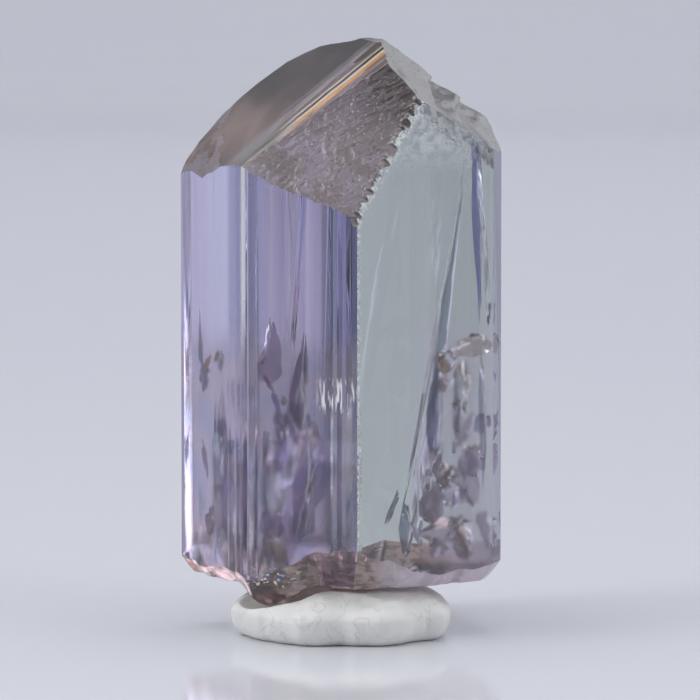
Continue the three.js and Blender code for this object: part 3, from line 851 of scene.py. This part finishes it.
    for name, operation, *parts in (
        # signals and numbers, taken together two by two in their order
        ("leftward", "MAXIMUM", "facesLeft", "facesFarLeft"),
        # painted shade on the lower left faces, with blotches of painted reflection
        ("leftLowShade", "MULTIPLY", "leftward", "lowPart"),
        ("leftLowReflectionPatch", "MULTIPLY", "leftLowShade", "lowPatch"),
        ("faintStreaks", "MULTIPLY", "leftward", "streaks", 0.45),
        # painted highlight: the narrow left-front bevel facet painted white
        ("bevelFacetHighlight", "MULTIPLY", "cornerStripe", "stripeEnd", "stripeFoot", "leftward"),
        ("etchedTop", "MULTIPLY", "front", "etchedUpper"),
        # painted shade in the hollows of the etch relief
        ("pitShade", "MULTIPLY", "etched", "etchedPits"),
        ("specks", "MULTIPLY", "front", "etchedSpecks"),
        ("mauve", "MULTIPLY", "front", "etchedPatch"),
        # painted shade: the dome darkens towards its top
        ("domeTopShade", "MULTIPLY", "smooth", "domeUpper"),
        ("domeStreaks", "MULTIPLY", "smooth", "domeBands", 0.4),
        ("foot", "MULTIPLY", "domeFoot", "domeFootEnd", "smooth"),
        ("frost", "MULTIPLY", "frostHeight", "frostPatch", "facesRight"),
        ("teeth", "MULTIPLY", "teethReach", "teethPatch", "facesRight"),
        ("rightLow", "MULTIPLY", "facesRight", "rightCorner", "rightFoot"),
        # painted glints: white dashes on the front-left face
        ("paintedGlintDashes", "MULTIPLY", "dashTop", "dashFoot", "dashStart", "leftward", "dashLines"),
        # painted glints: coloured sparkles on the base rim
        ("paintedSparkGlints", "MULTIPLY", "sparkPatch", "sparkTop", "sparkFoot", "sparkStart", "sparkEnd",
         "sparkFront"),
        ("veilWidth", "MULTIPLY", "veilStart", "veilEnd"),
        ("veilPlan", "MAXIMUM", "veilWidth", "veilEdge"),
        ("veils", "MULTIPLY", "veilPlan", "veilTop", "veilFoot", "facesLeft"),
        ("beside", "MULTIPLY", "besideBevel", "smooth", "bevelUpper"),
        ("chips", "MULTIPLY", "edgeRight", "teethPatch", "facesRight"),
        ("brokenRight", "MULTIPLY", "broken", "baseRight"),
        ("brokenBands", "MULTIPLY", "broken", "baseBands"),
    ):
        signal[name] = signal[parts[0]]
        for part in parts[1:]:
            inputs = {0: signal[name], 1: signal.get(part, part)}
            signal[name] = addNode(tree, "ShaderNodeMath", inputs, operation=operation).outputs[0]

    ramps = {}
    for name, source, low, high, stops in (
        ("growth", "x", growthBands[0][0], growthBands[-1][0], growthBands),
        ("streaks", "wobble", 4.36, 5.02, bevelStreaksAndFire),
        ("end", "wobble", 4.36, 5.02, bevelEnd),
        ("beside", "wobble", 5.0, 5.7, besideStreaks),
        ("hue", "hueNoise", 0.3, 0.7, glintSparkHues),
    ):
        share = addNode(tree, "ShaderNodeMapRange", {
            "Value": signal[source], "From Min": low, "From Max": high,
        })
        first, last = stops[0][0], stops[-1][0]
        stops = [((position - first) / (last - first), colour) for position, colour in stops]
        ramps[name] = addNode(tree, "ShaderNodeValToRGB", {0: share.outputs[0]}, stops).outputs[0]
    # the ridge bevel's tint, with its painted fire
    bevelTintAndFire = addNode(tree, "ShaderNodeMix", {
        0: signal["bevelUpper"], 6: ramps["end"], 7: ramps["streaks"],
    }, data_type="RGBA").outputs[2]

    tint = values["sideTint"]
    for weight, colour in (
        ("leftward", ramps["growth"]),
        ("faintStreaks", values["streakTint"]),
        # painted shade on the lower left faces, then painted reflections in blotches
        ("leftLowShade", values["lowShadeTint"]),
        ("leftLowReflectionPatch", values["lowBlueReflectionTint"]),
        ("veils", values["veilTint"]),
        ("facesRight", values["rightTint"]),
        ("facesBack", values["rightTint"]),
        ("rightLow", values["rightLowTint"]),
        ("frost", values["frostAndHighlightTint"]),
        ("teeth", values["frostAndHighlightTint"]),
        ("chips", values["frostAndHighlightTint"]),
        ("etched", values["etchedTint"]),
        ("mauve", values["etchedMauveTint"]),
        ("etchedTop", values["etchedDarkTint"]),
        ("slope", values["slopeTint"]),
        # painted shade in the etch pits
        ("pitShade", values["etchedDarkTint"]),
        ("specks", values["etchedSpeckTint"]),
        ("smooth", values["domeTint"]),
        # painted shade at the dome's top
        ("domeTopShade", values["domeShadeAndBandTint"]),
        ("domeStreaks", values["domeShadeAndBandTint"]),
        ("foot", values["domeFootTint"]),
        ("beside", ramps["beside"]),
        ("bevel", bevelTintAndFire),
        ("broken", values["brokenTint"]),
        ("brokenBands", values["brokenDarkTint"]),
        ("brokenRight", values["brokenPaleTint"]),
        # painted highlight on the narrow left-front bevel facet
        ("bevelFacetHighlight", values["frostAndHighlightTint"]),
        # painted glints: white dashes on the front-left face
        ("paintedGlintDashes", values["glintDashTint"]),
        # painted glints: coloured sparkles on the base rim
        ("paintedSparkGlints", ramps["hue"]),
        ("crack", signal["crackColour"]),
    ):
        mixed = addNode(tree, "ShaderNodeMix", {0: signal[weight], 6: tint, 7: colour}, data_type="RGBA")
        tint = mixed.outputs[2]

    sums = {}
    for name, start, parts in (
        # what each signal adds to the polished, smooth, clear crystal
        ("roughness", 0.01, (
            ("etched", 0.27), ("smooth", 0.16), ("broken", 0.1), ("frost", 0.25), ("leftLowShade", 0.19),
            ("rightLow", 0.17), ("crack", 0.13), ("frostAndGlint", 0.2), ("bevelFacetHighlight", 0.3), ("teeth", 0.3),
            ("paintedGlintDashes", 0.3), ("paintedSparkGlints", 0.25),
        )),
        ("relief", 0.0, (
            ("etched", 1.0), ("broken", 0.3), ("frost", 0.4), ("leftLowShade", 0.25), ("chips", 2.0),
        )),
        ("opaque", 0.0, (
            ("frostAndGlint", 1.0), ("frost", 0.3), ("teeth", 0.7), ("bevelFacetHighlight", 0.6), ("chips", 0.5),
            ("specks", 0.15), ("front", 0.22), ("smooth", 0.22), ("brokenRight", 0.45), ("paintedGlintDashes", 0.8),
            ("paintedSparkGlints", 0.8),
        )),
    ):
        total = start
        for weight, amount in parts:
            total = addNode(tree, "ShaderNodeMath", {
                0: signal[weight], 1: amount, 2: total,
            }, operation="MULTIPLY_ADD").outputs[0]
        sums[name] = total
    height = addNode(tree, "ShaderNodeMath", {
        0: sums["relief"], 1: signal["etchNoise"],
    }, operation="MULTIPLY").outputs[0]
    bump = addNode(tree, "ShaderNodeBump", {
        "Height": height, "Strength": 0.7, "Distance": values["pitDepth"] * mm,
    }).outputs[0]
    # the painted fire on the ridge bevel is made opaque as far as it is bright
    brightness = addNode(tree, "ShaderNodeRGBToBW", {0: bevelTintAndFire}).outputs[0]
    paleFire = addNode(tree, "ShaderNodeMath", {
        0: signal["bevel"], 1: brightness,
    }, operation="MULTIPLY").outputs[0]
    opaque = addNode(tree, "ShaderNodeMath", {
        0: paleFire, 1: values["fireCover"], 2: sums["opaque"],
    }, operation="MULTIPLY_ADD", use_clamp=True).outputs[0]
    clear = addNode(tree, "ShaderNodeMath", {0: 1.0, 1: opaque}, operation="SUBTRACT").outputs[0]
    body = addNode(tree, "ShaderNodeBsdfPrincipled", {
        "Base Color": tint, "Roughness": sums["roughness"], "Normal": bump, "IOR": values["ior"],
        "Transmission Weight": clear,
    }).outputs[0]
    absorb = addNode(tree, "ShaderNodeVolumeAbsorption", {
        "Color": values["absorption"], "Density": values["absorptionPerMetre"],
    }).outputs[0]
    addNode(tree, "ShaderNodeOutputMaterial", {"Surface": body, "Volume": absorb})
    return material


crystal.data.materials.clear()
crystal.data.materials.append(zoisiteMaterial(crystalFinish))
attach(crystal, "root")
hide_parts("tanzanite_crystal")


# The putty: a pressed ball, with an uneven outline, soft finger dents and the print of the crystal's corner
puttyShape = {
    "radius": 3.35,  # mm
    "foot": 2.95,
    "top": 2.25,
    "belly": 0.75,
    "lumps": 0.2,  # share of the radius
    "inset": 0.06,
    "dents": 0.3,  # share of the height
    "fineDents": 0.05,
    "dentGap": 0.12,
    "rows": 90,
    "rays": 360,
}


def puttyPiece(values):
    # Profile of two quarter ellipses, foot to belly to top, swept round; radius and height are then changed
    # by smooth noise in the plan angle, and the dent is the underside of an ellipsoid
    rest = crystalShape["restHeight"]
    quarter = np.linspace(0, np.pi / 2, values["rows"] // 2)
    belly, foot, top = values["belly"], values["foot"], values["top"]
    rim = values["radius"] - foot
    under = np.stack([foot + rim * np.sin(quarter), belly - belly * np.cos(quarter)], 1)
    plateau = values["radius"] - top
    over = np.stack([plateau + top * np.cos(quarter), belly + (rest - belly) * np.sin(quarter)], 1)
    inner = np.stack([np.linspace(plateau, 0.02, 16)[1:], np.full(15, rest)], 1)
    underside = np.stack([np.linspace(0.02, foot, 6)[:-1], np.zeros(5)], 1)
    radius, height = np.vstack([underside, under, over[1:], inner]).T[..., None]
    angle = np.linspace(0, 2 * np.pi, values["rays"], endpoint=False)[None, :]
    around = 2.2 * np.cos(angle) + 7, 2.2 * np.sin(angle) + 7
    outward = radius / values["radius"]
    lumps = values["lumps"] * layeredNoise(*around, 31, 3) * outward
    away = radius * (1 + lumps) - values["inset"]
    x, y = away * np.cos(angle), away * np.sin(angle)
    bulge = np.clip(height / rest, 0, 1)
    dents = values["dents"] * np.abs(layeredNoise(x / 1.5 + 3, y / 1.5 + 3, 41, 3))
    dents = dents + values["fineDents"] * np.abs(layeredNoise(x * 3, y * 3, 47, 2))
    z = height * (1 - dents * bulge * outward)
    low = lowCorner
    reach = np.array(low["reach"]) * 1.35 + values["dentGap"]
    share = ((x - low["at"][0]) / reach[0]) ** 2 + ((y - low["at"][1]) / reach[1]) ** 2
    dent = rest - (low["drop"] + values["dentGap"]) * np.sqrt(np.clip(1 - share, 0, 1))
    z = np.where((share < 1) & (height > belly), np.minimum(z, dent), z)
    points = np.stack(np.broadcast_arrays(x, y, z), -1).reshape(-1, 3) * mm
    rows = len(radius)
    faces = gridFaces(rows, values["rays"], closedRows=True).tolist()
    ring = list(range(values["rays"]))
    faces += [ring[::-1], [(rows - 1) * values["rays"] + k for k in ring]]
    putty = makeObject("kneaded_putty", points, faces)
    smoothShade(putty.data, 60)
    return putty


# Mineral putty: kneaded and pressed, dense and matt with a faint waxy sheen, marbled by thin grey creases
puttyFinish = {
    "shadeTint": "#e2e2e0",
    "paleTint": "#f3f2ef",
    "creaseTint": "#a9a8a6",
    "blotchSize": 1.111,  # mm
    "foldSize": 1.429,
    "dimpleDepth": 0.06,
    "roughness": 0.6,
}


def puttyMaterial(values):
    material, tree = newMaterial("kneaded_mineral_putty")
    metres = addNode(tree, "ShaderNodeTexCoord").outputs["Object"]
    blotches = addNode(tree, "ShaderNodeTexNoise", {
        "Vector": metres, "Scale": 1 / (values["blotchSize"] * mm), "Detail": 5.0,
    }).outputs["Fac"]
    folds = addNode(tree, "ShaderNodeTexNoise", {
        "Vector": metres, "Scale": 1 / (values["foldSize"] * mm), "Detail": 6.0, "Distortion": 1.6,
    }).outputs["Fac"]
    centred = addNode(tree, "ShaderNodeMath", {0: folds, 1: 0.5}, operation="SUBTRACT").outputs[0]
    nearFold = addNode(tree, "ShaderNodeMath", {0: centred}, operation="ABSOLUTE").outputs[0]
    crease = addNode(tree, "ShaderNodeMapRange", {
        "Value": nearFold, "From Min": 0.012, "From Max": 0.0,
    }).outputs[0]
    marbled = addNode(tree, "ShaderNodeMix", {
        0: blotches, 6: values["shadeTint"], 7: values["paleTint"],
    }, data_type="RGBA").outputs[2]
    faint = addNode(tree, "ShaderNodeMath", {0: crease, 1: 0.2}, operation="MULTIPLY").outputs[0]
    tint = addNode(tree, "ShaderNodeMix", {
        0: faint, 6: marbled, 7: values["creaseTint"],
    }, data_type="RGBA").outputs[2]
    height = addNode(tree, "ShaderNodeMath", {
        0: crease, 1: -0.6, 2: blotches,
    }, operation="MULTIPLY_ADD").outputs[0]
    bump = addNode(tree, "ShaderNodeBump", {
        "Height": height, "Strength": 0.5, "Distance": values["dimpleDepth"] * mm,
    }).outputs[0]
    body = addNode(tree, "ShaderNodeBsdfPrincipled", {
        "Base Color": tint, "Roughness": values["roughness"], "Normal": bump, "Subsurface Weight": 0.15,
        "Subsurface Scale": 0.4 * mm, "Subsurface Radius": (1.0, 1.0, 1.0),
    }).outputs[0]
    addNode(tree, "ShaderNodeOutputMaterial", {"Surface": body})
    return material


putty = puttyPiece(puttyShape)
putty.data.materials.append(puttyMaterial(puttyFinish))
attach(putty, "root")
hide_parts("mineral_putty")
print("putty pressed:", len(putty.data.polygons), "faces")


# Table, backdrop and light
stageValues = {
    "tableShadeTints": ((0.0, "#d9dae0"), (0.29, "#ced0d8"), (1.0, "#c4c6ce")),  # painted shade: darker from the front to the far bend
    "tintReach": (-20.0, 330.0),
    "floorRoughness": 0.1,
    "front": -450.0,  # mm: the table reaches past every viewpoint round the crystal
    "bend": 210.0,
    "curl": 180.0,
    "height": 200.0,
    "halfWidth": 450.0,
    "air": "#a3a5ab",
    "airStrength": 1.5,
    "frontStrength": 0.4,
}
softBoxes = (
    # name, place, what it points at and size in mm, power in watts
    ("left_soft_box", (-160, -60, 110), (0, 0, 9), (90, 90), 0.15),
    ("right_soft_box", (170, -60, 90), (0, 0, 9), (90, 120), 0.08),
    ("top_soft_box", (0, 10, 190), (0, 0, 9), (160, 120), 0.15),
    ("backdrop_soft_box", (20, 130, 190), (20, 330, 50), (400, 100), 0.28),
)


def makeStage(values):
    # A sheet that runs back flat, curls up and rises: a profile carried along X. Along the curl's arc the
    # slope angle eases from 0 to 90 degrees, and y and z are the running sums of its cosine and sine
    share = np.linspace(0, 1, 49)[1:]
    slope = np.pi / 2 * share * share * (3 - 2 * share)
    step = values["curl"] / len(share)
    y = values["bend"] + np.cumsum(np.cos(slope)) * step
    y = np.concatenate([[values["front"], values["bend"]], y, y[-1:]])
    z = np.concatenate([[0.0, 0.0], np.cumsum(np.sin(slope)) * step, [values["height"]]])
    x = values["halfWidth"] * np.array([-1.0, 1.0])
    points = np.stack(np.broadcast_arrays(x[None, :], y[:, None], z[:, None]), -1) * mm
    points[..., 2] -= 0.002 * mm
    material, tree = newMaterial("glossy_white_table")
    metres = addNode(tree, "ShaderNodeTexCoord").outputs["Object"]
    depth = addNode(tree, "ShaderNodeSeparateXYZ", {0: metres}).outputs["Y"]
    near, far = values["tintReach"]
    share = addNode(tree, "ShaderNodeMapRange", {
        "Value": depth, "From Min": near * mm, "From Max": far * mm,
    }).outputs[0]
    # painted shade: the table darkens towards the back
    tint = addNode(tree, "ShaderNodeValToRGB", {0: share}, values["tableShadeTints"]).outputs[0]
    body = addNode(tree, "ShaderNodeBsdfPrincipled", {
        "Base Color": tint, "Roughness": values["floorRoughness"],
    }).outputs[0]
    addNode(tree, "ShaderNodeOutputMaterial", {"Surface": body})
    sheet = makeObject("table_sheet", points, gridFaces(len(y), 2).tolist(), material)
    sheet.data.shade_smooth()


def softBox(name, place, aim, size, power):
    light = bpy.data.lights.new(name, "AREA")
    light.shape = "RECTANGLE"
    light.size, light.size_y = size[0] * mm, size[1] * mm
    light.energy = power
    lamp = bpy.data.objects.new(name, light)
    bpy.context.scene.collection.objects.link(lamp)
    lamp.location = Vector(place) * mm
    lamp.rotation_euler = (Vector(aim) - Vector(place)).to_track_quat("-Z", "Y").to_euler()


def makeAir(values):
    # Air that is brightest behind and beside the crystal and dims towards the front
    world = bpy.data.worlds.new("studio_air")
    bpy.context.scene.world = world
    world.use_nodes = True
    tree = world.node_tree
    tree.nodes.clear()
    way = addNode(tree, "ShaderNodeTexCoord").outputs["Generated"]
    depth = addNode(tree, "ShaderNodeSeparateXYZ", {0: way}).outputs["Y"]
    level = addNode(tree, "ShaderNodeMapRange", {
        "Value": depth, "From Min": -1.0, "From Max": -0.2,
        "To Min": values["frontStrength"], "To Max": values["airStrength"],
    }).outputs[0]
    air = addNode(tree, "ShaderNodeBackground", {"Color": values["air"], "Strength": level}).outputs[0]
    addNode(tree, "ShaderNodeOutputWorld", {"Surface": air})


makeStage(stageValues)
makeAir(stageValues)
for box in softBoxes:
    softBox(*box)

scene = bpy.context.scene
scene.view_settings.view_transform = "Standard"
scene.cycles.max_bounces = 16
scene.cycles.transmission_bounces = 16
scene.cycles.use_denoising = True
print("stage ready")
